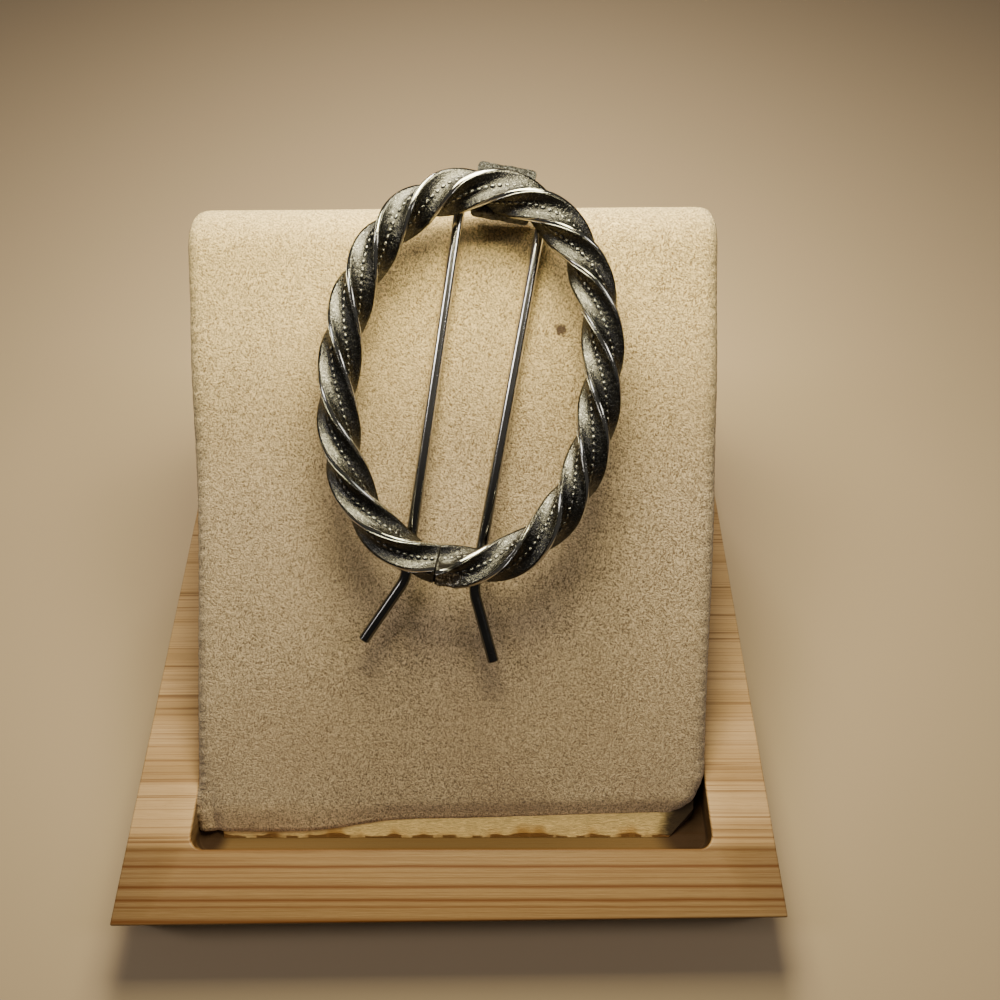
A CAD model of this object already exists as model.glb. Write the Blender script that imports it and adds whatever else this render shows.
"""Oval scarf clip of twisted pattern wire, on the suede ramp of a small bamboo stand."""

import bisect
import math
import random
from itertools import accumulate

import bmesh
import bpy
from bpy.props import FloatProperty, FloatVectorProperty, IntProperty, PointerProperty
from mathutils import Matrix, Vector, noise


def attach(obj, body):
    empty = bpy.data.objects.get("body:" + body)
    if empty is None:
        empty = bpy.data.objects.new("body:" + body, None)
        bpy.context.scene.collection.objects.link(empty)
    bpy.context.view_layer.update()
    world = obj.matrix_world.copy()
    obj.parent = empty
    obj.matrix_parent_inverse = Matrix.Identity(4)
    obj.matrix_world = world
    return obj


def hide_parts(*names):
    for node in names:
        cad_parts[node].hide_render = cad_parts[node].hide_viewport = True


bl_info = {
    "name": "Twisted scarf clip on a stand",
    "version": (1, 0, 0),
    "blender": (4, 5, 0),
    "location": "3D View > Sidebar > Scarf Clip",
    "description": "Builds a twisted metal scarf clip and the suede and bamboo stand under it",
    "category": "Object",
}

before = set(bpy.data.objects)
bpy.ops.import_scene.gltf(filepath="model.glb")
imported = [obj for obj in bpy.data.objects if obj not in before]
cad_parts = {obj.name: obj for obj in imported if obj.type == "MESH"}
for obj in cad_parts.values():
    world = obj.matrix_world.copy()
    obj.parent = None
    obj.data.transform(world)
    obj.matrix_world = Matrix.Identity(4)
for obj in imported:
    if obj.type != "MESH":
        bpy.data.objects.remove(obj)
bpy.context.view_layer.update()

MM = 0.001

# Ramp: its slope, where the slope meets the board's top, and the recess's floor
SLOPE_DEG = 32.9
RAMP_START = Vector((0, -0.0307, 0.010))
RECESS_FLOOR = 0.0064
# Turn of the recess and the wedge on the board, as a slope
SKEW = 0.0095

# Clip on the slope, in millimetres
CLIP_SPOT = (7.1, 73.8, 0.8)
CLIP_TILT = 1.7
CLIP_LEAN = 10

# Ring: middle line of the oval, its place over the pin, and the twist of the rope
OVAL_W = 30.4
OVAL_L = 43.5
SQUARENESS = 2.18
RING_SPOT = (-0.2, -21.9, 3.3)
RING_LEAN = 3.6
ROPE_R = 2.5
RAIL_FLANK = 0.09
RAIL_ROUND = 0.025
CHANNEL_STEPS = (-0.97, -0.84, -0.66, -0.46, -0.27, -0.1, 0.1, 0.27, 0.46, 0.66, 0.84, 0.97)
TWIST_SHARES = (70, 64, 76, 71, 70, 61, 78, 70, 91, 75, 66, 79, 68, 65, 59, 57, 71)
FIRST_RAIL = 0.033
SECTIONS_PER_TURN = 28
BUTT_JOINT_DEG = 185.15
JOINT_SECTIONS = (-0.3, -0.16, -0.09, -0.07, 0.0, 0.07, 0.09, 0.16, 0.3)
JOINT_WITHOUT_BEADS = 0.45
# Half length and height of a bead, each varied at random
BEAD_LONG = 0.335
BEAD_TALL = 0.15

# Hinge plate and knuckle
PLATE_W = 6.9
PLATE_UP = 3.65
PLATE_DOWN = 2.7
PLATE_Z = (0.9, 1.5)
KNUCKLE_R = 1.2
KNUCKLE_BORE_R = 0.72
KNUCKLE_ROLL = 338
PIN_ROOM = 0.95
PLATE_VOXEL = 0.13
# Solder above and below the pin: place, then half width, half length and half height
SOLDER = (
    ((-2.0, 2.0, 1.75), (1.3, 0.75, 0.5)), ((0.2, 2.25, 1.8), (1.5, 0.7, 0.55)),
    ((2.1, 1.9, 1.75), (1.2, 0.8, 0.5)), ((-1.8, -2.1, 1.6), (1.4, 0.55, 0.45)),
    ((0.6, -2.15, 1.65), (1.5, 0.5, 0.45)), ((2.3, -2.0, 1.6), (1.0, 0.5, 0.4)),
)

# Fork: the middle of the wire, and the splay and roll of its tips in degrees
LEG_GAP = 9.9
LEG_TAPER = 0.9
LEG_LEN = 46.6
TIP_SPLAY = 25.3
TIP_ROLL = 9
TIP_LEN = 8.85
TOP_BEND_R = 1
TIP_BEND_R = 4
TIP_CHAMFER = 0.12

# Strong fibre lines of the board: place along Y, half width, strength
FRONT_LINES = (
    (-44.0, 0.5, 1.0), (-42.5, 0.2, 0.7), (-41.78, 0.32, 1.0), (-40.35, 0.34, 1.0),
    (-39.4, 0.12, 0.5), (-38.85, 0.12, 0.5), (-38.15, 0.32, 1.0), (-37.2, 0.14, 0.4),
    (-36.35, 0.24, 0.6),
)
SIDE_LINES = ((-28.3, 0.26, 0.6), (-15.1, 0.22, 0.5), (2.4, 0.28, 0.5), (19.7, 0.24, 0.45))
STRIP_W = 5.6

# Dirty ends of the recess and of the wedge's foot, and the old pin mark on the slope
HOLLOWS = ((33.0, -32.2, 7.6), (-31.0, -34.3, 7.0))
WEDGE_END = (31.5, -34.0, 7.5)
PIN_MARK = (14.0, 58.7, 0.6)

# Board: reach of the recess's front wall in X and Y, and where the cut ends begin, in metres
WALL_HALF_W = 0.035
WALL_Y = (-0.037, -0.033)
BOARD_END = 0.039

# Foot of the ramp: how far the recess's wall and the wedge's toe are moved, the wedge's cut
# corner, and where the suede ends and its left flap begins
WALL_BACK = 0.27
TOE_OUT = 0.35
TOE_INSET = 1.6
CUT_CORNER = (30.85, -34.25, 0)
CUT_DEPTH = 2.0
SUEDE_END = 5.2
FLAP_X = -29.0
SUEDE_VOXEL = 0.62

# Lights: name, place and size in metres, share of the main light's power, tint
LAMPS = (
    ("key", (0.003, 0.039, 0.103), (0.05, 0.05), 0.22, (1, 0.93, 0.6)),
    ("rear", (0.0, 0.14, 0.16), (0.05, 0.03), 0.26, (1, 0.93, 0.78)),
    ("right", (0.20, -0.026, 0.26), (0.05, 0.10), 0.15, (1, 0.96, 0.92)),
    ("left", (-0.20, -0.01, 0.26), (0.05, 0.10), 0.15, (1, 0.97, 0.96)),
)
LAMP_AIM = (0.002, 0.0, 0.03)
SKY_TINT = (1.0, 0.94, 0.85, 1)

# Camera, in metres and degrees, as fitted to the photo
CAMERA_AT = (0.005942, -0.04404, 0.111421)
CAMERA_TURN = (29.299, 0, -0.627)
LENS_MM = 27.036


def turn(degrees, axis):
    return Matrix.Rotation(math.radians(degrees), 4, axis)


def shift(x, y, z):
    return Matrix.Translation(Vector((x, y, z)))


# Millimetres on the slope (across, up the slope, off the slope) to the stand's frame, in metres
SLOPE = Matrix.Translation(RAMP_START) @ turn(SLOPE_DEG, "X") @ Matrix.Scale(MM, 4)
SLOPE_BACK = SLOPE.inverted()
# The pin runs along X through the clip's origin, Y points to the ring's top, Z off the ramp
CLIP = SLOPE @ shift(*CLIP_SPOT) @ turn(-CLIP_TILT, "X") @ turn(-CLIP_LEAN, "Z")
RING = CLIP @ shift(*RING_SPOT) @ turn(RING_LEAN, "Z")


def ease(value, low, high):
    """0 up to low, 1 from high on, and a smooth rise between them."""
    t = min(max((value - low) / (high - low), 0.0), 1.0)
    return t * t * (3 - 2 * t)


def wobble(point, scale, seed=0.0):
    """Smooth noise from -1 to 1 at a point in millimetres."""
    return noise.noise(Vector(point) * scale + Vector((seed, seed * 1.7, seed * 0.3)))


# ---- sizes and colours


def length(name, description, default, low, high):
    return FloatProperty(
        name=name, description=description, default=default * MM, min=low * MM,
        max=high * MM, unit="LENGTH", subtype="DISTANCE", precision=5,
    )


def colour(name, description, default):
    return FloatVectorProperty(
        name=name, description=description, default=default, min=0, max=1, size=3, subtype="COLOR"
    )


class StandLook(bpy.types.PropertyGroup):
    """Sizes and colours of the stand."""

    board_bevel: length("Board edge", "Rounding of the bamboo board's edges", 0.35, 0.1, 1)
    suede_thickness: length("Suede thickness", "Thickness of the suede sheet", 0.93, 0.5, 0.95)
    suede_pull: length("Corner pull", "How far the right lower corner is pulled in", 2.2, 0, 3)
    nap_depth: length("Nap depth", "Depth of the suede's brushed nap", 0.11, 0.02, 0.3)
    bamboo_pale: colour("Bamboo, pale", "Pale wood between the fibre lines", (0.51, 0.315, 0.142))
    bamboo_line: colour("Bamboo, lines", "Brown fibre lines", (0.12, 0.040, 0.005))
    suede_pale: colour("Suede, pale", "Raised fibres of the nap", (0.73, 0.545, 0.345))
    suede_dark: colour("Suede, dark", "Pits between the fibres", (0.13, 0.078, 0.035))
    fibre: colour("Fibreboard", "Bare fibreboard at the ramp's foot", (0.70, 0.50, 0.21))
    glue: colour("Glue", "Dried glue at the ramp's foot", (0.13, 0.055, 0.015))
    hollow: colour("Hollows", "Dirt in the ends of the recess", (0.024, 0.009, 0.002))


class ClipLook(bpy.types.PropertyGroup):
    """Sizes and colours of the clip."""

    rail_width: length("Rail width", "Width of the polished flat of each rail", 0.38, 0.3, 0.8)
    channel_depth: length("Channel depth", "Depth of the channel between two rails", 0.6, 0.3, 0.9)
    bead_width: length("Bead width", "Width of a bead across its channel", 0.46, 0.3, 0.9)
    bead_count: IntProperty(
        name="Beads in a row", description="Beads along each channel", default=151, min=60, max=200
    )
    wire_diameter: length("Wire diameter", "Diameter of the fork's wire", 1.35, 1, 1.35)
    rail_colour: colour("Rail metal", "Polished metal on the rails", (0.52, 0.51, 0.475))
    channel_colour: colour("Channel metal", "Darkened metal in the channels", (0.100, 0.097, 0.089))
    wire_colour: colour("Wire metal", "Polished metal of the fork", (0.27, 0.26, 0.245))


class StageLook(bpy.types.PropertyGroup):
    """Floor and light."""

    floor: colour("Floor", "Colour of the plain floor", (0.46, 0.34, 0.215))
    sky: FloatProperty(
        name="Fill", description="Strength of the even light", default=0.07, min=0, max=3
    )
    key: FloatProperty(
        name="Main light", description="Power of the main light", default=1.0, min=0, max=50,
        unit="POWER",
    )


# ---- materials


class Number:
    """A number socket of a material that takes Python's arithmetic."""

    def __init__(self, finish, socket):
        self.finish = finish
        self.socket = socket

    def math(self, operation, *values):
        return self.finish.value("Math", {"operation": operation}, dict(enumerate(values)))

    def __add__(self, other):
        return self.math("ADD", self, other)

    __radd__ = __add__

    def __sub__(self, other):
        return self.math("SUBTRACT", self, other)

    def __rsub__(self, other):
        return self.math("SUBTRACT", other, self)

    def __mul__(self, other):
        return self.math("MULTIPLY", self, other)

    __rmul__ = __mul__

    def __truediv__(self, other):
        return self.math("DIVIDE", self, other)

    def __rtruediv__(self, other):
        return self.math("DIVIDE", other, self)

    def __abs__(self):
        return self.math("ABSOLUTE", self)

    def fract(self):
        return self.math("FRACT", self)

    def most(self, other):
        return self.math("MAXIMUM", self, other)

    def between(self, low, high):
        """0 below low, 1 above high, smooth between them; falls where low is the larger."""
        settings = {"interpolation_type": "SMOOTHSTEP", "clamp": True}
        if low > high:
            return 1 - self.between(high, low)
        sockets = {"Value": self, "From Min": low, "From Max": high}
        return self.finish.value("MapRange", settings, sockets)


class Finish:
    """A procedural material while it is put together. Its patterns are scaled in millimetres."""

    def __init__(self, name, **constants):
        self.material = bpy.data.materials.new(name)
        self.material.use_nodes = True
        self.tree = self.material.node_tree
        self.shader = self.tree.nodes["Principled BSDF"]
        for socket, value in constants.items():
            self.shader.inputs[socket.replace("_", " ")].default_value = value

    def add(self, kind, settings, sockets):
        """Adds a node: its settings first, then the values or links of its sockets."""
        node = self.tree.nodes.new("ShaderNode" + kind)
        for name, value in settings.items():
            if name == "stops":
                self.set_stops(node.color_ramp, value)
            else:
                setattr(node, name, value)
        for name, value in sockets.items():
            self.feed(node.inputs[name], value)
        return node

    def value(self, kind, settings, sockets, output=0):
        return Number(self, self.add(kind, settings, sockets).outputs[output])

    def set_stops(self, ramp, stops):
        while len(ramp.elements) > 1:
            ramp.elements.remove(ramp.elements[-1])
        for i, (place, shade) in enumerate(stops):
            element = ramp.elements[0] if i == 0 else ramp.elements.new(place)
            element.position = place
            element.color = (shade, shade, shade, 1)

    def feed(self, socket, value):
        if isinstance(value, Number):
            value = value.socket
        if isinstance(value, bpy.types.NodeSocket):
            self.tree.links.new(value, socket)
        elif socket.type == "RGBA":
            socket.default_value = (*value[:3], 1)
        else:
            socket.default_value = value

    def shade(self, **inputs):
        """Feeds the shader, its base colour from what was painted."""
        inputs["Base_Color"] = self.colours
        for name, value in inputs.items():
            self.feed(self.shader.inputs[name.replace("_", " ")], value)
        return self.material

    def place(self, scale=(1, 1, 1), rotation=(0, 0, 0)):
        """Object coordinates in millimetres, turned and then stretched by scale."""
        source = self.add("TexCoord", {}, {}).outputs["Object"]
        turned = self.add("Mapping", {}, {"Vector": source, "Rotation": rotation})
        size = tuple(1000 * s for s in scale)
        return self.add("Mapping", {}, {"Vector": turned.outputs[0], "Scale": size}).outputs[0]

    def number(self, name):
        return self.value("Attribute", {"attribute_name": name}, {}, "Fac")

    def split(self, vector):
        node = self.add("SeparateXYZ", {}, {0: vector})
        return [Number(self, s) for s in node.outputs]

    def on_slope(self):
        """Millimetres across, up and off the slope, from the stand's origin."""
        return self.split(self.place(rotation=(math.radians(-SLOPE_DEG), 0, 0)))

    def join(self, x, y, z):
        return self.add("CombineXYZ", {}, {0: x, 1: y, 2: z}).outputs[0]

    def noise(self, vector, scale=1.0, detail=2.0, roughness=0.5, distortion=0.0):
        sockets = {
            "Vector": vector, "Scale": scale, "Detail": detail, "Roughness": roughness,
            "Distortion": distortion,
        }
        return self.value("TexNoise", {}, sockets)

    def pattern(self, x, y, z, *settings):
        """Noise at coordinates that are already scaled."""
        return self.noise(self.join(x, y, z), 1, *settings)

    def cells(self, vector):
        return self.value("TexVoronoi", {}, {"Vector": vector, "Scale": 1.0}, "Distance")

    def ramp(self, value, stops):
        return self.value("ValToRGB", {"stops": stops}, {0: value})

    def mix(self, factor, first, second, blend="MIX"):
        """Mixes two colours into the one that the next paint call covers."""
        settings = {"data_type": "RGBA", "blend_type": blend}
        self.colours = self.add("Mix", settings, {0: factor, 6: first, 7: second}).outputs[2]

    def paint(self, factor, colour, blend="MIX"):
        """Lays a colour over what there is so far."""
        self.mix(factor, self.colours, colour, blend)

    def distance(self, vector, point):
        return self.value("VectorMath", {"operation": "DISTANCE"}, {0: vector, 1: point}, "Value")

    def bump(self, height, depth, strength=1.0, after=None):
        """Bump of a depth in millimetres, on top of another one."""
        sockets = {"Height": height, "Distance": depth * MM, "Strength": strength}
        if after is not None:
            sockets["Normal"] = after
        return self.add("Bump", {}, sockets).outputs[0]


def toned(shade, *factors):
    """A colour times one factor, or times one for each channel."""
    return [min(1, c * k) for c, k in zip(shade, factors if len(factors) == 3 else factors * 3)]


def fibre_lines(f, where, table, low, span):
    """Soft lines on the stretch that starts at low: none, full at the line's place, none again."""
    stops = [(0.0, 0.0)]
    for place, half, depth in table:
        middle = (place - low) / span
        before = (stops[-1][0] + middle) / 2
        start = middle - half / span
        if start > stops[-1][0]:
            stops.append((start, 0.0))
        else:
            stops[-1] = (before, 0.12)
        stops.append((middle, depth))
        stops.append((middle + 1.1 * half / span, 0.0))
    return f.ramp((where - low) / span, stops)


def bamboo_finish(look):
    """Long pale strips with brown fibre lines, all running across the board."""
    f = Finish("bamboo", Coat_Roughness=0.35, Specular_IOR_Level=0.25)
    mm = f.place()
    x, y, z = f.split(mm)
    drift = f.noise(f.place((0.02, 0.06, 0.06)), 1, 2) * 0.9 - 0.45
    level = (z - 10) * 0.6
    # The strips, the recess and the wedge are turned a little from the board's front edge
    across = y + level + x * SKEW
    wave = across + f.pattern(x * 0.08, across * 0.7, 0.0, 2) * 0.2 - 0.1
    bold = fibre_lines(f, wave, FRONT_LINES, -45.2, 9.6)
    bold = bold.most(fibre_lines(f, wave, SIDE_LINES, -32, 56))
    front = across.between(-35.4, -36.4)
    shifted = across + drift
    fine_lines = f.pattern(x * 0.01, shifted * 2.3, level, 2.5, 0.62)
    faint_lines = f.pattern(x * 0.02, shifted * 6.0, level, 2, 0.55)
    lamella = f.pattern(x * 0.004, shifted * 0.24, 3.1, 1)
    gate = f.pattern(x * 0.03, shifted * 0.5, 0.0, 1).between(0.3, 0.55)
    fine = fine_lines.between(0.56, 0.64) * gate
    faint = faint_lines.between(0.5, 0.66)
    # The wide lines, then fine ones that are weaker along the front, then faint ones
    lines = (bold * 1.05).most(fine * 0.66 * (1 - front * 0.35)).most(faint * 0.34)
    warm = toned(look.bamboo_pale, 0.30, 0.255, 0.15)
    light = toned(look.bamboo_pale, 1.1, 1.14, 1.25)
    f.mix(lamella.between(0.36, 0.62), look.bamboo_pale, light)
    f.paint(front * 0.8 + lamella.between(0.5, 0.3) * 0.3, warm)
    streaks = f.pattern(x * 0.25, shifted * 9.0, z * 2, 3, 0.6)
    f.paint(streaks.between(0.35, 0.7) * 0.3, toned(look.bamboo_pale, 0.7))
    # Shadow and dirt in the recess only, not on the board's outer faces
    inside = abs(x).between(37, 36) * abs(y).between(41.5, 40.5)
    floor = z.between(8.2, 7.0) * inside
    f.paint(floor * 0.92, toned(look.bamboo_pale, 0.225, 0.21, 0.15))
    f.paint(lines * (1 - floor * 0.7), look.bamboo_line)
    pores = f.pattern(x * 0.6, shifted * 14.0, z * 9, 2, 0.7)
    f.paint(pores.between(0.58, 0.75) * 0.25, look.bamboo_line)
    below = z.between(9.9, 9.3) * inside
    right, left = (f.distance(mm, place) for place in HOLLOWS)
    dark = right.between(8.6, 5.6).most(left.between(3.0, 1.2)).most(x.between(-31.3, -31.8) * 0.8)
    f.paint(dark * below * 0.94, look.hollow)
    height = f.pattern(x * 0.35, shifted * 11.0, z * 8, 3, 0.65) - lines * 0.25
    return f.shade(
        Roughness=0.42 + streaks * 0.16 + lines * 0.1 + floor * 0.35,
        Coat_Weight=0.08 - floor * 0.08, Normal=f.bump(height, 0.05, 0.55),
    )


def bamboo_end_finish(look):
    """Cut ends of the bamboo strips, dotted with fibre bundles."""
    f = Finish("bamboo_end")
    _, y, z = f.split(f.place())
    bundles = f.cells(f.join(0.0, y * 2.4, z * 2.4))
    spread = f.pattern(0.0, y * 0.7, z * 0.25, 2)
    dots = bundles.between(0.34, 0.16) * spread.between(0.25, 0.75)
    glue_line = abs(((y + 200) / STRIP_W).fract() - 0.5).between(0.485, 0.5)
    f.mix(f.pattern(0.0, y * 0.3, z * 0.3, 2), look.bamboo_pale, toned(look.bamboo_pale, 0.74))
    f.paint((dots * 0.75).most(glue_line * 0.8), look.bamboo_line)
    rough = f.pattern(0.0, y * 6.0, z * 6.0, 3, 0.6)
    relief = f.bump(rough - dots * 0.3, 0.08, 0.6)
    return f.shade(Roughness=0.6 + rough * 0.15, Normal=relief)


def suede_finish(look):
    """Brushed nap: short pale fibres lying every way, dark pits between them, soft shading."""
    f = Finish("suede", Sheen_Weight=0.28, Sheen_Roughness=0.6, Specular_IOR_Level=0.15)
    mm = f.place()
    nap = f.noise(mm, 4.2, 3, 0.75, 0.6)
    combed = f.noise(f.place((2.2, 5.8, 5.8), (0, 0, 0.75)), 1, 2, 0.7, 0.5)
    combed_back = f.noise(f.place((6.0, 2.3, 2.3), (0, 0, 0.35)), 1, 2, 0.7, 0.5)
    patches = f.noise(mm, 0.35, 3, 0.55).between(0.35, 0.65)
    fibres = ((nap + combed * patches + combed_back * (1 - patches)) * 0.5).between(0.38, 0.6)
    pits = f.noise(mm, 2.8, 3, 0.7, 0.5).between(0.6, 0.7)
    specks = f.noise(f.place((1, 1, 1), (0.3, 0.2, 0.9)), 2.2, 3, 0.75).between(0.65, 0.7)
    broad = f.noise(mm, 0.055, 3, 0.5)
    f.mix(fibres, look.suede_dark, look.suede_pale)
    f.paint(broad.between(0.3, 0.75) * 0.25, toned(look.suede_pale, 0.84, 0.8, 0.74))
    f.paint((pits * 0.7).most(specks * 0.75), toned(look.suede_dark, 0.34))
    # Handled lower part is a little browner, the rolled edge below it and the crown are paler
    along = f.on_slope()[1]
    soil = along.between(8, -34) * f.noise(mm, 0.09, 2).between(0.1, 0.9)
    f.paint(soil * 0.4, toned(look.suede_dark, 1.25, 0.95, 0.9))
    f.paint(along.between(-20.0, -21.2), (1.28, 1.27, 1.22), "MULTIPLY")
    f.paint(along.between(14, 50), (1.29, 1.27, 0.92), "MULTIPLY")
    # Old pin mark
    mark = f.distance(mm, SLOPE @ Vector(PIN_MARK) * 1000) + f.noise(mm, 2.2, 3) * 1.1
    f.paint(mark.between(1.7, 0.7) * 0.35, (0.2, 0.1, 0.04))
    f.paint(mark.between(1.4, 1.05) * 0.93, (0.05, 0.02, 0.008))
    relief = f.bump(fibres * 0.8 + nap * 0.6 - pits * 0.6, look.nap_depth / MM, 0.85)
    return f.shade(Roughness=0.86 + fibres * 0.1, Normal=relief)


def fibreboard_finish(look):
    """Bare pressed fibres at the ramp's foot, with scallops of dried glue along the lower edge."""
    f = Finish("fibreboard", Roughness=0.8)
    mm = f.place()
    x, up, off = f.on_slope()
    fibres = f.pattern(x * 1.2, up * 5.0, off * 5.0, 4, 0.65, 0.8)
    blotch = f.noise(mm, 0.5, 3, 0.6)
    f.mix(fibres.between(0.3, 0.7), toned(look.fibre, 0.7), toned(look.fibre, 1.25))
    f.paint(blotch.between(0.45, 0.75) * 0.4, toned(look.fibre, 0.62))
    # Dried glue lies in short lengths along the joint with the recess's floor
    over_floor = f.split(mm)[2] - 6.45
    gate = f.pattern(x * 0.16, 0.0, 0.0, 2, 0.6).between(0.4, 0.64)
    ragged = f.pattern(x * 0.9, up * 2.0, 0.0, 2)
    broken = f.pattern(x * 0.3, 2.0, 0.0, 1.5, 0.6).between(0.45, 0.5)
    glue = (0.1 + gate * 0.22 + ragged * 0.08 - over_floor).between(0.0, 0.08)
    glue *= broken.most(gate)
    stain = (0.2 + gate * 0.8 + ragged * 0.5 - over_floor).between(0.0, 0.9)
    f.paint(stain * (0.15 + gate * 0.65), toned(look.fibre, 0.5, 0.33, 0.12))
    # Shadowed, dirty end of the recess
    end = f.distance(mm, WEDGE_END) + f.noise(mm, 0.8, 2) * 1.4
    f.paint(end.between(6.6, 4.4) * 0.97, (0.02, 0.0075, 0.002))
    f.paint(glue * 0.93, look.glue)
    relief = f.bump(fibres + blotch * 0.4 - glue * 0.2, 0.12, 0.7)
    return f.shade(Roughness=0.86 - glue * 0.5, Normal=relief)


def ring_finish(look):
    """Darkened grainy channels, beads rubbed bright on top, polished rails with fine scratches."""
    f = Finish("ring_metal", Metallic=1.0)
    mm = f.place()
    rail, bead, solder, dirt = (f.number(name) for name in ("rail", "bead", "solder", "dirt"))
    grain = f.noise(mm, 3.4, 4, 0.72, 0.4)
    fine = f.noise(mm, 6.5, 2, 0.6)
    mottle = f.noise(mm, 1.1, 3, 0.6)
    cloud = f.noise(mm, 0.22, 2, 0.5)
    wear = rail.between(0.4, 0.95)
    top = bead.between(0.45, 0.95)
    bright = wear.most(top * 0.3) * (1 - solder * 0.7)
    f.mix(mottle.between(0.3, 0.7), toned(look.channel_colour, 0.6), look.channel_colour)
    f.paint(cloud.between(0.35, 0.7) * 0.5, toned(look.channel_colour, 1.5, 1.46, 1.36))
    groove = bead.between(0.35, 0.02) * f.number("row").between(0.25, 0.9)
    f.paint(groove * 0.6, (0.028, 0.027, 0.025))
    f.paint(bright, look.rail_colour)
    corner = rail.between(0.03, 0.12) * rail.between(0.5, 0.2)
    f.paint(corner * 0.75, (0.02, 0.019, 0.017))
    pits = grain.between(0.56, 0.7) * (1 - wear)
    f.paint(pits * 0.6, (0.045, 0.042, 0.036))
    glint = grain.between(0.42, 0.32) * (1 - wear)
    f.paint(glint * 0.6, toned(look.rail_colour, 0.9))
    specks = f.noise(mm, 2.6, 4, 0.75).between(0.53, 0.6) * solder
    f.paint(specks * 0.9, toned(look.rail_colour, 1.3))
    f.paint(dirt * 0.93, (0.012, 0.009, 0.007))
    scratch = f.noise(f.place((9, 2, 9), (0, 0, 0.35)), 1, 3, 0.7)
    rough = 0.15 + mottle * 0.1 - wear * 0.12 - top * 0.06 + pits * 0.2
    rough = rough + scratch * 0.06 + dirt * 0.4
    grainy = f.bump((grain + fine * 0.3) * (1 - wear * 0.85), 0.1, 0.9)
    lumps = mottle * (1 - wear * 0.8) + solder * f.noise(mm, 3.2, 4, 0.7) * 2.2
    return f.shade(Roughness=rough, Normal=f.bump(lumps, 0.13, 0.7, grainy))


def plate_finish(look):
    """Rough cast plate with solder that has run over it."""
    f = Finish("hinge_metal", Metallic=1.0)
    mm = f.place()
    lumps = f.noise(mm, 2.1, 4, 0.7)
    grain = f.noise(mm, 7.0, 3, 0.7)
    metal = look.channel_colour
    f.mix(lumps.between(0.35, 0.65), toned(metal, 0.35), toned(metal, 1.2))
    f.paint(grain.between(0.55, 0.7) * 0.6, toned(look.rail_colour, 0.7))
    low = f.on_slope()[1].between(53.6, 52.0) * lumps.between(0.3, 0.6)
    f.paint(low * 0.6, toned(look.rail_colour, 0.62))
    relief = f.bump(lumps * 1.6 + grain * 0.6, 0.3, 1.0)
    return f.shade(Roughness=0.26 + grain * 0.22, Normal=relief)


def wire_finish(look):
    """Drawn and polished wire, with faint lengthwise streaks and a dulled film."""
    f = Finish("fork_wire", Metallic=1.0)
    mm = f.place()
    drawn = f.noise(f.place((7.5, 0.12, 2.0), (0, 0, math.radians(CLIP_LEAN))), 1, 3, 0.6)
    film = f.noise(mm, 0.4, 3, 0.6)
    spots = f.noise(mm, 2.4, 3, 0.7).between(0.66, 0.78)
    along = f.on_slope()[1]
    f.mix(along.between(12, 34), toned(look.wire_colour, 0.4), toned(look.wire_colour, 2.6))
    f.paint(film.between(0.3, 0.75) * 0.3, toned(look.wire_colour, 0.66))
    f.paint(spots * 0.45, (0.14, 0.12, 0.1))
    rough = 0.09 + drawn * 0.07 + film * 0.06 + spots * 0.2
    return f.shade(Roughness=rough, Normal=f.bump(drawn + spots * 0.4, 0.012, 0.35))


def floor_finish(look):
    """Plain matt floor with a barely visible grain."""
    f = Finish("floor")
    mm = f.place()
    grain = f.noise(mm, 1.4, 2)
    f.mix(f.noise(mm, 0.02, 2) * 0.3, look.floor, toned(look.floor, 0.93))
    return f.shade(Roughness=0.8 + grain * 0.05, Normal=f.bump(grain, 0.02, 0.2))


# ---- pieces


def smooth(mesh, sharp=None):
    """Smooth shading, except along edges sharper than an angle in degrees."""
    mesh.polygons.foreach_set("use_smooth", [True] * len(mesh.polygons))
    if sharp:
        mesh.set_sharp_from_angle(angle=math.radians(sharp))


def new_piece(name, bm, materials, body=None, replaces=(), sharp=None):
    """Makes an object of a bmesh, at the origin, and gives it its body and slot."""
    mesh = bpy.data.meshes.new(name)
    bm.to_mesh(mesh)
    bm.free()
    piece = bpy.data.objects.new(name, mesh)
    bpy.context.scene.collection.objects.link(piece)
    for material in materials:
        mesh.materials.append(material)
    smooth(mesh, sharp)
    if body:
        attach(piece, body)
        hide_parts(*replaces)
    return piece


def merged_copy(node):
    """A bmesh of a CAD node with its loose triangles joined and its flat faces made whole."""
    bm = bmesh.new()
    bm.from_mesh(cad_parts[node].data)
    bmesh.ops.remove_doubles(bm, verts=bm.verts, dist=2e-6)
    bmesh.ops.dissolve_limit(bm, angle_limit=math.radians(0.5), verts=bm.verts, edges=bm.edges)
    return bm


def add_bmesh(bm, part):
    """Adds a finished part to a bmesh."""
    spare = bpy.data.meshes.new("part")
    part.to_mesh(spare)
    part.free()
    bm.from_mesh(spare)
    bpy.data.meshes.remove(spare)


def remeshed(piece, voxel):
    """A bmesh of the piece, rebuilt of even squares of one size."""
    modifier = piece.modifiers.new("Remesh", "REMESH")
    modifier.mode = "VOXEL"
    modifier.voxel_size = voxel
    modifier.adaptivity = 0
    with bpy.context.temp_override(object=piece, active_object=piece, selected_objects=[piece]):
        bpy.ops.object.modifier_apply(modifier=modifier.name)
    bm = bmesh.new()
    bm.from_mesh(piece.data)
    return bm


def relax(bm):
    axes = {"use_axis_x": True, "use_axis_y": True, "use_axis_z": True}
    bmesh.ops.smooth_vert(bm, verts=bm.verts, factor=0.5, **axes)


def whole(bm):
    return bm.verts[:] + bm.edges[:] + bm.faces[:]


def cut(bm, point, normal, parts=None, clear=False):
    """Cuts a bmesh, or some of its parts, along a plane. With clear, what lies beyond it goes."""
    return bmesh.ops.bisect_plane(
        bm, geom=parts or whole(bm), plane_co=point, plane_no=normal, clear_outer=clear
    )["geom_cut"]


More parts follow.
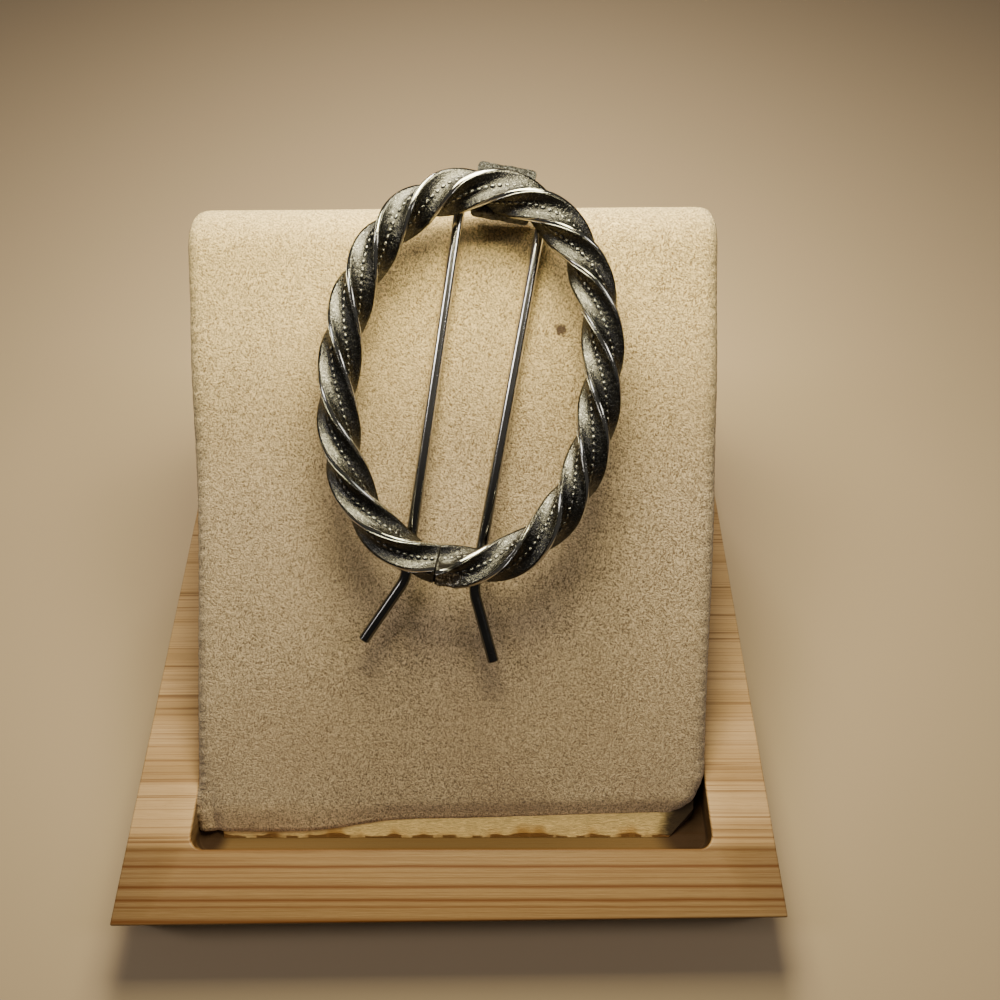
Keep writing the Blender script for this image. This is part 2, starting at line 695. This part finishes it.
def sharp_edges(bm, degrees):
    return [e for e in bm.edges if e.is_manifold and e.calc_face_angle(0) > math.radians(degrees)]


def bevel(bm, parts, offset, segments, affect="EDGES"):
    bmesh.ops.bevel(
        bm, geom=parts, offset=offset, offset_type="OFFSET", affect=affect, segments=segments,
        profile=0.5, material=-1, clamp_overlap=True,
    )


def only(parts, kind):
    return [part for part in parts if isinstance(part, kind)]


def extrude_faces(bm, way):
    """Turns open faces into a closed block as deep as the way that they are moved."""
    made = bmesh.ops.extrude_face_region(bm, geom=bm.faces[:])["geom"]
    bmesh.ops.translate(bm, vec=way, verts=only(made, bmesh.types.BMVert))
    bmesh.ops.recalc_face_normals(bm, faces=bm.faces)


def extrude_loop(bm, edges, change):
    """Extrudes a loop of edges and moves the new one by a matrix. Returns the new edges."""
    made = bmesh.ops.extrude_edge_only(bm, edges=edges)["geom"]
    bmesh.ops.transform(bm, matrix=change, verts=only(made, bmesh.types.BMVert))
    return only(made, bmesh.types.BMEdge)


class BuildBoard(bpy.types.Operator):
    """Bamboo board with its recess: softened edges, lines along the strips, dotted cut ends"""

    bl_idname = "scarf_clip.board"
    bl_label = "Bamboo board"

    def execute(self, context):
        look = context.scene.scarf_stand
        bm = merged_copy("bamboo_base")
        # The recess's front wall is turned a little
        for vert in bm.verts:
            if abs(vert.co.x) < WALL_HALF_W and WALL_Y[0] < vert.co.y < WALL_Y[1]:
                vert.co.y += WALL_BACK * MM - SKEW * vert.co.x
        bevel(bm, sharp_edges(bm, 40), look.board_bevel, 3)
        for x in range(-36, 37, 12):
            cut(bm, (x * MM, 0, 0), (1, 0, 0))
        for face in bm.faces:
            at_end = abs(face.normal.x) > 0.8 and abs(face.calc_center_median().x) > BOARD_END
            face.material_index = 1 if at_end else 0
        finishes = [bamboo_finish(look), bamboo_end_finish(look)]
        new_piece("bamboo_board", bm, finishes, "stand", ["bamboo_base"], 50)
        return {"FINISHED"}


def cut_core_corner(bm):
    """Takes the right lower corner off the wedge, where the board shows a dark hollow beside it."""
    side = Vector((0.62, -0.785, 0)).normalized()
    made = cut(bm, Vector(CUT_CORNER) * MM - side * CUT_DEPTH * MM, side, clear=True)
    bmesh.ops.holes_fill(bm, edges=only(made, bmesh.types.BMEdge), sides=0)


class BuildCore(bpy.types.Operator):
    """Fibreboard wedge under the suede, bare at its foot"""

    bl_idname = "scarf_clip.core"
    bl_label = "Fibreboard wedge"

    def execute(self, context):
        look = context.scene.scarf_stand
        bm = merged_copy("ramp_core")
        cut_core_corner(bm)
        # The toe follows the recess's front wall, and its left end stays clear of the flap's fold
        toe = [v for v in bm.verts if v.co.z < RECESS_FLOOR + 0.2 * MM and v.co.y < -0.03]
        for vert in toe:
            vert.co.y -= TOE_OUT * MM + SKEW * vert.co.x
            if vert.co.x < FLAP_X * MM:
                vert.co.x += TOE_INSET * MM
        bmesh.ops.recalc_face_normals(bm, faces=bm.faces)
        finishes = [fibreboard_finish(look)]
        new_piece("core_wedge", bm, finishes, "stand", ["ramp_core"], 35)
        return {"FINISHED"}


class BuildSuede(bpy.types.Operator):
    """Sheet of suede stretched over the wedge: soft folds at the edges, lower corners tucked in"""

    bl_idname = "scarf_clip.suede"
    bl_label = "Suede cover"

    def execute(self, context):
        look = context.scene.scarf_stand
        bm = merged_copy("ramp_core")
        cut_core_corner(bm)
        piece = new_piece("suede_wrap", bm, [suede_finish(look)])
        bm = remeshed(piece, SUEDE_VOXEL * MM)
        relax(bm)
        relax(bm)
        self.trim(bm)
        area = sum(f.calc_area() for f in bm.faces)
        self.settle(bm, look)
        bm.normal_update()
        bm.to_mesh(piece.data)
        bm.free()
        smooth(piece.data)
        wall = piece.modifiers.new("Thickness", "SOLIDIFY")
        wall.thickness = look.suede_thickness
        wall.offset = 1
        wall.vertex_group = self.thin_edge(piece)
        wall.use_even_offset = False
        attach(piece, "stand")
        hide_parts("suede_cover")
        return {"FINISHED"}

    def trim(self, bm):
        """Opens the sheet below and at its foot, except for the flap at the left corner."""
        cut(bm, (0, 0, RECESS_FLOOR + 0.35 * MM), (0, 0, -1), clear=True)
        cut(bm, (FLAP_X * MM, 0, 0), (1, 0, 0))
        faces = [f for f in bm.faces if f.calc_center_median().x > FLAP_X * MM]
        part = set(faces)
        part.update(e for f in faces for e in f.edges)
        part.update(v for f in faces for v in f.verts)
        down = SLOPE.to_3x3() @ Vector((0, -1, 0))
        cut(bm, SLOPE @ Vector((0, -SUEDE_END, 0)), down.normalized(), list(part), clear=True)

    def settle(self, bm, look):
        """Lifts the sheet off the glue, with the ripples and folds of a hand-glued cover."""
        slope = SLOPE.to_3x3()
        pull = look.suede_pull / MM
        for vert in bm.verts:
            x, up, off = SLOPE_BACK @ vert.co
            ripple = 0.05 + 0.03 * wobble((x, up, off), 0.16, 3.0) * ease(up, 0, 6)
            # The cover sits a little to the right above its foot, and is fuller over the crown
            side = 0.021 * x + 1.05 * ease(up, 0, 42)
            rise = 0.3 * ease(up, 60, 70) * (1 - self.behind_clip(x))
            # The right lower corner is pulled in round the end of the recess
            side -= pull * (1 - ease(up, -2.6, 3.4)) * ease(x, 25.5, 31.5)
            along = 0.0
            if x > -28.5:
                # The lower edge runs further down on the left
                reach = 2.35 + 0.9 * ease(-x, -31, 5) + 2.0 * self.left_half(x)
                reach += 0.1 * wobble((x, 0, 0), 0.5, 5.0)
                along = -up * (1 - reach / SUEDE_END) if up < 0 else 0.0
            along -= SKEW * x * (1 - ease(up, -1, 6))
            # The left corner is folded out against the recess's wall
            side -= 1.0 * (1 - ease(up, -2.0, 2.5)) * ease(-x, 27, 31)
            # Fold that runs into the left corner
            crease = math.exp(-(((x + 29.4 + 0.1 * up) / 0.45) ** 2)) * (1 - ease(up, -1.0, 5.0))
            move = slope @ Vector((side, along, rise - 0.4 * crease))
            vert.co += move + vert.normal * ripple * MM

    def left_half(self, x):
        """0 from the middle to the right, 1 at the left, where the sheet ends lower down."""
        return ease(-x, 4.5, 20)

    def behind_clip(self, x):
        """1 where the hinge plate swings down behind the crown as the ring opens, 0 beside it."""
        return ease(x, -1.5, 2.0) * (1 - ease(x, 12.2, 15.7))

    def thin_edge(self, piece):
        """Presses the sheet flat towards its glued lower edge, and a little behind the clip."""
        group = piece.vertex_groups.new(name="thickness")
        for vert in piece.data.vertices:
            x, up, _ = SLOPE_BACK @ vert.co
            weight = 0.25 + 0.75 * ease(up, -2.7 - 2.3 * self.left_half(x), 0.2)
            weight -= 0.2 * self.behind_clip(x) * ease(up, 68, 72)
            group.add([vert.index], weight, "REPLACE")
        return group.name


class BuildFork(bpy.types.Operator):
    """Wire bent into two legs, with the bridge that the ring's knuckle turns on"""

    bl_idname = "scarf_clip.fork"
    bl_label = "Wire fork"

    def execute(self, context):
        look = context.scene.scarf_clip
        radius = look.wire_diameter / MM / 2
        bm = bmesh.new()
        top_angle = 90 + LEG_TAPER
        tip_angle = TIP_SPLAY + LEG_TAPER
        top_tangent = TOP_BEND_R * math.tan(math.radians(top_angle) / 2)
        tip_tangent = TIP_BEND_R * math.tan(math.radians(tip_angle) / 2)
        leg = LEG_LEN / math.cos(math.radians(LEG_TAPER)) - top_tangent - tip_tangent
        bmesh.ops.create_circle(bm, cap_ends=False, radius=radius, segments=32)
        bmesh.ops.transform(bm, matrix=turn(90, "Y"), verts=bm.verts)
        self.bm, self.edges, self.at = bm, bm.edges[:], Matrix.Identity(4)
        self.straight(LEG_GAP / 2 - top_tangent, 3)
        self.curve(top_angle, TOP_BEND_R, -1, 16)
        self.straight(leg, 24)
        self.at = self.at @ turn(TIP_ROLL, "X")
        self.curve(tip_angle, TIP_BEND_R, 1, 12)
        self.straight(TIP_LEN - tip_tangent - TIP_CHAMFER, 5)
        end = self.at @ shift(TIP_CHAMFER, 0, 0)
        shrink = end @ Matrix.Scale(1 - TIP_CHAMFER / radius, 4) @ self.at.inverted()
        self.edges = extrude_loop(bm, self.edges, shrink)
        for depth in (0.45, 0.1):
            squeeze = end @ Matrix.Scale(depth, 4) @ end.inverted()
            self.edges = extrude_loop(bm, self.edges, squeeze)
        bmesh.ops.holes_fill(bm, edges=self.edges, sides=0)
        bmesh.ops.mirror(bm, geom=whole(bm), matrix=Matrix.Identity(4), merge_dist=1e-4, axis="X")
        bmesh.ops.remove_doubles(bm, verts=bm.verts, dist=1e-4)
        bmesh.ops.recalc_face_normals(bm, faces=bm.faces)
        bmesh.ops.transform(bm, matrix=CLIP, verts=bm.verts)
        new_piece("fork_wire", bm, [wire_finish(look)], "stand", ["wire_fork"], 40)
        return {"FINISHED"}

    def straight(self, reach, steps):
        for _ in range(steps):
            self.go(self.at @ shift(reach / steps, 0, 0))

    def curve(self, angle, radius, way, steps):
        """Bends the wire about a centre beside it, to the right for way -1, to the left for 1."""
        centre = shift(0, way * radius, 0)
        for _ in range(steps):
            self.go(self.at @ centre @ turn(way * angle / steps, "Z") @ centre.inverted())

    def go(self, to):
        self.edges = extrude_loop(self.bm, self.edges, to @ self.at.inverted())
        self.at = to


def signed_power(value, power):
    return math.copysign(abs(value) ** power, value)


def look_up(value, table, results):
    """Result for a value that lies between two entries of a rising table."""
    i = min(bisect.bisect_right(table, value) - 1, len(table) - 2)
    part = (value - table[i]) / (table[i + 1] - table[i])
    return results[i] + part * (results[i + 1] - results[i])


class Rope:
    """Middle line and twist of the ring's rope, in millimetres."""

    def __init__(self):
        count = 1440
        self.angles = [2 * math.pi * i / count for i in range(2 * count + 1)]
        points = [self.middle(a) for a in self.angles]
        steps = ((b - a).length for a, b in zip(points, points[1:]))
        self.lengths = list(accumulate(steps, initial=0.0))
        self.total = self.lengths[count]
        self.starts = list(accumulate(TWIST_SHARES, initial=0))

    def middle(self, angle):
        x = signed_power(math.sin(angle), 2 / SQUARENESS)
        y = signed_power(math.cos(angle), 2 / SQUARENESS)
        return Vector((OVAL_W / 2 * x, OVAL_L / 2 * y, 0))

    def outward(self, angle):
        p = self.middle(angle)
        x = signed_power(2 * p.x / OVAL_W, SQUARENESS - 1) / OVAL_W
        y = signed_power(2 * p.y / OVAL_L, SQUARENESS - 1) / OVAL_L
        return Vector((x, y, 0)).normalized()

    def reach_at(self, turns):
        """Length along the middle line at a number of quarter turns."""
        k = min(int(turns), len(TWIST_SHARES) - 1)
        share = self.starts[k] + (turns - k) * TWIST_SHARES[k]
        return self.total * (FIRST_RAIL + share / self.starts[-1])

    def turns_at(self, reach):
        share = (reach / self.total - FIRST_RAIL) * self.starts[-1]
        k = min(max(bisect.bisect_right(self.starts, share) - 1, 0), len(TWIST_SHARES) - 1)
        return k + (share - self.starts[k]) / TWIST_SHARES[k]

    def point(self, turns, degrees, radius):
        """Point of the rope, by its quarter turns, its angle from the front, and its radius."""
        angle = look_up(self.reach_at(turns), self.lengths, self.angles)
        t = math.radians(degrees)
        out = self.outward(angle) * (radius * math.sin(t))
        return self.middle(angle) + out + Vector((0, 0, radius * math.cos(t)))


def polar(across, height):
    """Degrees from straight out, and radius."""
    return math.degrees(math.atan2(across, height)), math.hypot(across, height)


def channel_face(look):
    """Half width of a rail over its flanks, and distance of a channel's face from the middle."""
    foot = look.rail_width / MM / 2 + RAIL_FLANK
    return foot, (ROPE_R + foot) * math.cos(math.radians(45))


def rope_profile(look):
    """Section of the rope: degrees, radius, and how much each point is rail and bead row."""
    flat = look.rail_width / MM / 2
    foot, face_at = channel_face(look)
    face_half = (ROPE_R - foot) * math.sin(math.radians(45))
    rows = []

    def add(start, across, height, rail, row=0):
        degrees, radius = polar(across, height)
        rows.append((start + degrees, radius, rail, row))

    for start in range(0, 360, 90):
        for across, drop in ((-flat, RAIL_ROUND), (0, 0), (flat, RAIL_ROUND)):
            add(start, across, ROPE_R - drop, 1)
        add(start, foot, ROPE_R - RAIL_FLANK, 0.45)
        for s in CHANNEL_STEPS:
            groove = 0.05 * math.exp(-((abs(s) - 0.24) / 0.07) ** 2)
            sunk = look.channel_depth / MM * (1 - abs(s) ** 2.2) + groove
            rail = 0.12 if abs(s) > 0.9 else 0
            add(start + 45, face_half * s, face_at - sunk, rail, 1 if abs(s) < 0.3 else 0)
        add(start + 90, -foot, ROPE_R - RAIL_FLANK, 0.45)
    return rows


class BuildRing(bpy.types.Operator):
    """Ring of wire with four rails and beaded channels, twisted by hand and butted below"""

    bl_idname = "scarf_clip.ring"
    bl_label = "Twisted ring"

    def execute(self, context):
        look = context.scene.scarf_clip
        self.rope = Rope()
        self.joint = look_up(math.radians(BUTT_JOINT_DEG), self.rope.angles, self.rope.lengths)
        bm = bmesh.new()
        names = ("rail", "bead", "row", "solder", "dirt")
        layers = {name: bm.verts.layers.float.new(name) for name in names}
        self.twist(bm, look, layers)
        self.bead(bm, look)
        bmesh.ops.transform(bm, matrix=RING, verts=bm.verts)
        new_piece("ring_rope", bm, [ring_finish(look)], "ring", ["twisted_ring"])
        return {"FINISHED"}

    def sections(self):
        """Quarter turns of each section, closer together at the butt joint."""
        count = len(TWIST_SHARES) * SECTIONS_PER_TURN
        turns = [i / SECTIONS_PER_TURN for i in range(count + 1)]
        return sorted(turns + [self.rope.turns_at(self.joint + gap) for gap in JOINT_SECTIONS])

    def twist(self, bm, look, layers):
        profile = rope_profile(look)
        turns = self.sections()
        steps = len(turns) - 1
        bmesh.ops.create_cone(
            bm, cap_ends=False, cap_tris=False, segments=len(profile), radius1=1, radius2=1,
            depth=steps, matrix=shift(0, 0, steps / 2),
        )
        bars = [e for e in bm.edges if abs(e.verts[0].co.z - e.verts[1].co.z) > steps / 2]
        bars.sort(key=lambda e: math.atan2(e.verts[0].co.y, e.verts[0].co.x))
        for bar, (degrees, radius, rail, row) in zip(bars, profile):
            t = math.radians(degrees)
            for vert in bar.verts:
                vert.co = Vector((radius * math.sin(t), radius * math.cos(t), vert.co.z))
                vert[layers["rail"]] = rail
                vert[layers["row"]] = row
        bmesh.ops.subdivide_edges(bm, edges=bars, cuts=steps - 1, use_grid_fill=True)
        for vert in bm.verts:
            x, y, step = vert.co
            vert.co = self.section_point(turns[round(step)], *polar(x, y), vert, layers)
        bmesh.ops.remove_doubles(bm, verts=bm.verts, dist=0.004)
        bmesh.ops.recalc_face_normals(bm, faces=bm.faces)

    def section_point(self, turns, degrees, radius, vert, layers):
        """Place of one point of the twisted rope, with the small faults of handwork."""
        past = self.rope.reach_at(turns) - self.joint
        faces = 90 * turns + degrees
        # The two ends of the wire don't quite match where they are butted and soldered
        if abs(past) < 0.08:
            radius *= 0.9
        elif past > 0:
            radius *= 1 - 0.045 * (1 - ease(past, 0.1, 2.6))
            faces -= 5 * (1 - ease(past, 0.1, 4.0))
        else:
            radius *= 1 + 0.02 * (1 - ease(-past, 0.1, 2.6))
            faces += 6 * (1 - ease(-past, 0.1, 4.0))
        side = math.sin(math.radians(faces))
        # Notch left open beside the seam
        notch = ease(past, -2.8, -2.4) * (1 - ease(past, -0.3, -0.1))
        notch *= 1 - ease(abs(side + 0.08), 0.13, 0.24)
        notch *= 1 if math.cos(math.radians(faces)) > 0 else 0
        radius *= 1 - 0.1 * notch
        vert[layers["dirt"]] = max(notch, 1 - ease(abs(past), 0.06, 0.16))
        point = self.rope.point(turns, faces, radius)
        spread = ease(past, -5.2, -2.6) * (1 - ease(past, -0.3, 0.3)) * ease(side, 0.25, 0.8)
        vert[layers["solder"]] = spread
        lump = 0.035 * wobble(point, 0.55, 1.0) + 0.018 * wobble(point, 1.7, 4.0)
        lump *= 1 - 0.75 * vert[layers["rail"]]
        lump += spread * (0.06 + 0.16 * wobble(point, 1.6, 9.0))
        centre = self.rope.point(turns, 0, 0)
        return point + (point - centre).normalized() * lump

    def bead(self, bm, look):
        """Rows of beads along the floors of the four channels."""
        seed = bmesh.new()
        layer = seed.verts.layers.float.new("bead")
        bmesh.ops.create_uvsphere(seed, u_segments=8, v_segments=6, radius=1)
        cut(seed, (0, 0, -0.05), (0, 0, -1), clear=True)
        for vert in seed.verts:
            vert[layer] = max(0.0, vert.co.z)
        dome = bpy.data.meshes.new("bead")
        seed.to_mesh(dome)
        seed.free()
        places = list(self.bead_places(look))
        for first in range(0, len(places), 40):
            batch = bmesh.new()
            for place in places[first:first + 40]:
                before = len(batch.verts)
                batch.from_mesh(dome)
                bmesh.ops.transform(batch, matrix=place, verts=batch.verts[before:])
            add_bmesh(bm, batch)

    def bead_places(self, look):
        """Place and size of every bead, as a matrix."""
        rope = self.rope
        chance = random.Random(7)
        half = look.bead_width / MM / 2
        floor_at = channel_face(look)[1] - look.channel_depth / MM
        for quarter in range(4):
            for i in range(look.bead_count):
                reach = rope.total * (FIRST_RAIL + (i + 0.5) / look.bead_count)
                if abs(reach - self.joint) < JOINT_WITHOUT_BEADS:
                    continue
                turns, ahead = rope.turns_at(reach), rope.turns_at(reach + 0.1)
                here, there = (
                    rope.point(at, 90 * (at + quarter) + 45, floor_at) for at in (turns, ahead)
                )
                along = (there - here).normalized()
                up = (here - rope.point(turns, 0, 0)).normalized()
                cross = along.cross(up).normalized()
                up = cross.cross(along)
                wide = half * chance.uniform(0.82, 1.08)
                long = BEAD_LONG * chance.uniform(0.85, 1.08)
                tall = BEAD_TALL * chance.uniform(0.5, 1.15)
                axes = Matrix([cross * wide, along * long, up * tall]).transposed().to_4x4()
                yield Matrix.Translation(here + up * 0.01) @ axes


class BuildHinge(bpy.types.Operator):
    """Plate soldered behind the ring's top, with its lower edge rolled round the wire"""

    bl_idname = "scarf_clip.hinge"
    bl_label = "Hinge plate"

    def execute(self, context):
        bm = bmesh.new()
        self.plate(bm)
        plate = new_piece("hinge_plate", bm, [plate_finish(context.scene.scarf_clip)])
        bm = remeshed(plate, PLATE_VOXEL)
        relax(bm)
        bm.normal_update()
        for vert in bm.verts:
            lump = 0.07 * wobble(vert.co, 0.9, 2.0) + 0.045 * wobble(vert.co, 2.3, 6.0)
            vert.co += vert.normal * (lump + 0.03)
            near = math.hypot(vert.co.y, vert.co.z)
            if near < PIN_ROOM:
                vert.co.yz = Vector((vert.co.y, vert.co.z)) * (PIN_ROOM / max(near, 1e-6))
        add_bmesh(bm, self.knuckle())
        bmesh.ops.transform(bm, matrix=CLIP, verts=bm.verts)
        bm.to_mesh(plate.data)
        bm.free()
        smooth(plate.data, 60)
        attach(plate, "ring")
        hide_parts("twisted_ring")
        return {"FINISHED"}

    def plate(self, bm):
        """The plate's blank with rounded corners, and the solder that ties the rope to it."""
        size = Matrix.Diagonal((PLATE_W, PLATE_UP + PLATE_DOWN, 1, 1))
        middle = shift(0, (PLATE_UP - PLATE_DOWN) / 2, PLATE_Z[0])
        made = bmesh.ops.create_grid(bm, x_segments=1, y_segments=1, size=0.5, matrix=middle @ size)
        bevel(bm, made["verts"], 0.5, 4, "VERTICES")
        extrude_faces(bm, (0, 0, PLATE_Z[1] - PLATE_Z[0]))
        for place, half_sizes in SOLDER:
            oval = shift(*place) @ Matrix.Diagonal((*half_sizes, 1))
            bmesh.ops.create_icosphere(bm, subdivisions=3, radius=1, matrix=oval)

    def knuckle(self):
        """Strip rolled round the pin from the plate's back, with its seam below."""
        bm = bmesh.new()
        radii = (KNUCKLE_BORE_R, KNUCKLE_R - 0.02)
        first = [bm.verts.new((0.05 - PLATE_W / 2, radius, 0)) for radius in radii]
        edge = bm.edges.new(first)
        bmesh.ops.spin(
            bm, geom=[*first, edge], cent=(0, 0, 0), axis=(1, 0, 0), dvec=(0, 0, 0), steps=60,
            angle=math.radians(KNUCKLE_ROLL), use_merge=False, use_duplicate=False,
        )
        extrude_faces(bm, (PLATE_W - 0.1, 0, 0))
        bevel(bm, sharp_edges(bm, 60), 0.06, 2)
        return bm


class BuildStage(bpy.types.Operator):
    """Plain pale floor, soft studio lights and the camera"""

    bl_idname = "scarf_clip.stage"
    bl_label = "Floor, lights and camera"

    def execute(self, context):
        look = context.scene.scarf_stage
        bm = bmesh.new()
        bmesh.ops.create_grid(bm, x_segments=8, y_segments=8, size=0.9)
        floor = new_piece("floor", bm, [floor_finish(look)])
        world = bpy.data.worlds.new("studio")
        world.use_nodes = True
        background = world.node_tree.nodes["Background"]
        background.inputs[0].default_value = SKY_TINT
        background.inputs[1].default_value = look.sky
        context.scene.world = world
        for name, place, size, share, tint in LAMPS:
            light = bpy.data.lights.new(name, "AREA")
            light.shape = "RECTANGLE"
            light.size, light.size_y = size
            light.energy = look.key * share
            light.color = tint
            lamp = bpy.data.objects.new(name, light)
            lamp.location = place
            aim = Vector(LAMP_AIM) - Vector(place)
            lamp.rotation_euler = aim.to_track_quat("-Z", "Y").to_euler()
            context.scene.collection.objects.link(lamp)
        self.camera(context)
        return {"FINISHED"}

    def camera(self, context):
        lens = bpy.data.cameras.new("camera")
        lens.sensor_width = 36
        lens.lens = LENS_MM
        lens.clip_start = 0.005
        camera = bpy.data.objects.new("camera", lens)
        camera.location = CAMERA_AT
        camera.rotation_euler = [math.radians(degrees) for degrees in CAMERA_TURN]
        context.scene.collection.objects.link(camera)
        context.scene.camera = camera


LOOKS = {"scarf_stand": StandLook, "scarf_clip": ClipLook, "scarf_stage": StageLook}
OPERATORS = (BuildBoard, BuildCore, BuildSuede, BuildFork, BuildRing, BuildHinge, BuildStage)


class ScarfClipPanel(bpy.types.Panel):
    """Sizes, colours and the steps that build the clip and its stand"""

    bl_idname = "VIEW3D_PT_scarf_clip"
    bl_label = "Scarf Clip"
    bl_space_type = "VIEW_3D"
    bl_region_type = "UI"
    bl_category = "Scarf Clip"

    def draw(self, context):
        for group in LOOKS:
            look = getattr(context.scene, group)
            box = self.layout.box()
            for name in look.__annotations__:
                box.prop(look, name)
        for operator in OPERATORS:
            self.layout.operator(operator.bl_idname)


CLASSES = (*LOOKS.values(), *OPERATORS, ScarfClipPanel)


def register():
    for cls in CLASSES:
        bpy.utils.register_class(cls)
    for name, look in LOOKS.items():
        setattr(bpy.types.Scene, name, PointerProperty(type=look))


def unregister():
    for name in LOOKS:
        delattr(bpy.types.Scene, name)
    for cls in reversed(CLASSES):
        bpy.utils.unregister_class(cls)


def main():
    register()
    bpy.ops.scarf_clip.board()
    bpy.ops.scarf_clip.core()
    bpy.ops.scarf_clip.suede()
    bpy.ops.scarf_clip.fork()
    bpy.ops.scarf_clip.ring()
    bpy.ops.scarf_clip.hinge()
    bpy.ops.scarf_clip.stage()


if __name__ == "__main__":
    main()
